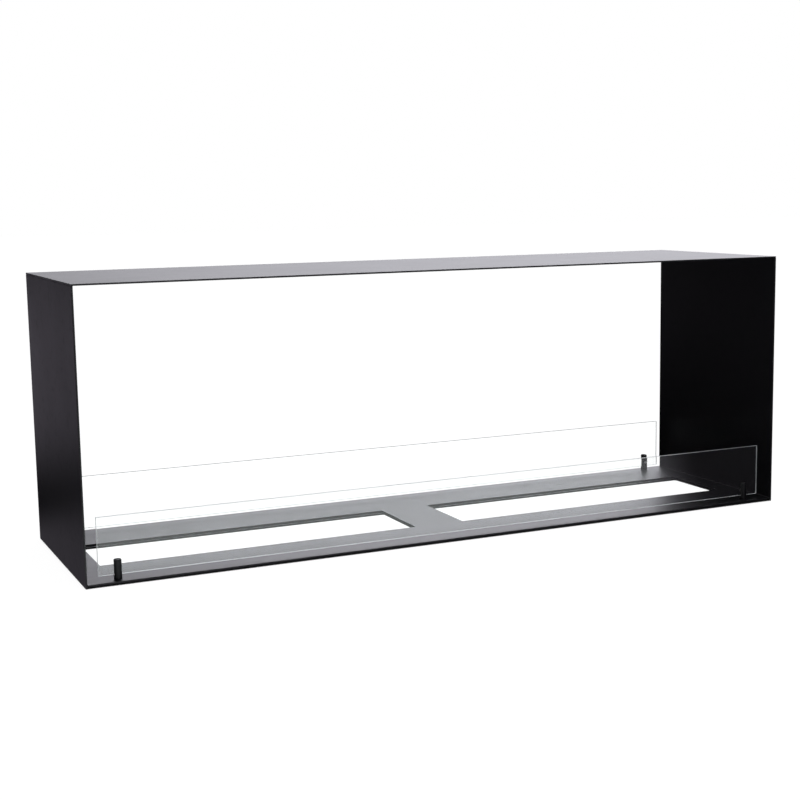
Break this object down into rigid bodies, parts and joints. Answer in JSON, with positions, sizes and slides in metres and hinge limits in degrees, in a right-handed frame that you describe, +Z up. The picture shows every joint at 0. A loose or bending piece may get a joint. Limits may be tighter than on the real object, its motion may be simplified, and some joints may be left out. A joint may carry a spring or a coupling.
{
  "type": "double-sided fireplace",
  "caption": "See-through firebox: a black steel casing open at front and back, with burner cut-outs in its base and low glass panes standing in slotted posts.",
  "frame": {"origin": "centre of the standing face, level with the undersides of the burner seats and the lower edges of the side panels, midway between front and back and between the sides", "axes": "+X to the right along the width seen from the front, +Y from front to back, +Z up; the pictured front faces -Y"},
  "size_m": [1.4, 0.4, 0.5],
  "materials": {
    "casing_black": "satin black powder coat on steel sheet, fine texture",
    "post_black": "smooth satin black coat on turned steel",
    "clear_glass": "clear toughened float glass with arrised edges",
    "liner_rubber": "matt black heat-proof rubber",
    "screw_steel": "bright stainless steel"
  },
  "bodies": {
    "casing": {"top_panel": "casing_black", "left_side_panel": "casing_black", "right_side_panel": "casing_black", "base_panel": "casing_black", "left_burner_seat": "casing_black", "right_burner_seat": "casing_black", "front_left_post": "post_black", "front_left_post_liner": "liner_rubber", "front_left_foot_screw": "screw_steel", "front_right_post": "post_black", "front_right_post_liner": "liner_rubber", "front_right_foot_screw": "screw_steel", "back_left_post": "post_black", "back_left_post_liner": "liner_rubber", "back_left_foot_screw": "screw_steel", "back_right_post": "post_black", "back_right_post_liner": "liner_rubber", "back_right_foot_screw": "screw_steel"},
    "front_pane": {"front_pane": "clear_glass"},
    "back_pane": {"back_pane": "clear_glass"},
    "front_left_set_screw": {"front_left_set_screw": "screw_steel"},
    "front_right_set_screw": {"front_right_set_screw": "screw_steel"},
    "back_left_set_screw": {"back_left_set_screw": "screw_steel"},
    "back_right_set_screw": {"back_right_set_screw": "screw_steel"}
  },
  "joints": [
    {"name": "front_pane_lift", "type": "slide", "parent": "casing", "child": "front_pane", "axis": [0, 0, 1], "range_m": [0, 0.06]},
    {"name": "back_pane_lift", "type": "slide", "parent": "casing", "child": "back_pane", "axis": [0, 0, 1], "range_m": [0, 0.06]},
    {"name": "front_left_screw_turn", "type": "hinge", "parent": "casing", "child": "front_left_set_screw", "pos_m": [-0.642, -0.181, 0.0233], "axis": [0, 1, 0], "range_deg": [0, 720]},
    {"name": "front_right_screw_turn", "type": "hinge", "parent": "casing", "child": "front_right_set_screw", "pos_m": [0.642, -0.181, 0.0233], "axis": [0, 1, 0], "range_deg": [0, 720]},
    {"name": "back_left_screw_turn", "type": "hinge", "parent": "casing", "child": "back_left_set_screw", "pos_m": [-0.642, 0.181, 0.0233], "axis": [0, -1, 0], "range_deg": [0, 720]},
    {"name": "back_right_screw_turn", "type": "hinge", "parent": "casing", "child": "back_right_set_screw", "pos_m": [0.642, 0.181, 0.0233], "axis": [0, -1, 0], "range_deg": [0, 720]}
  ]
}
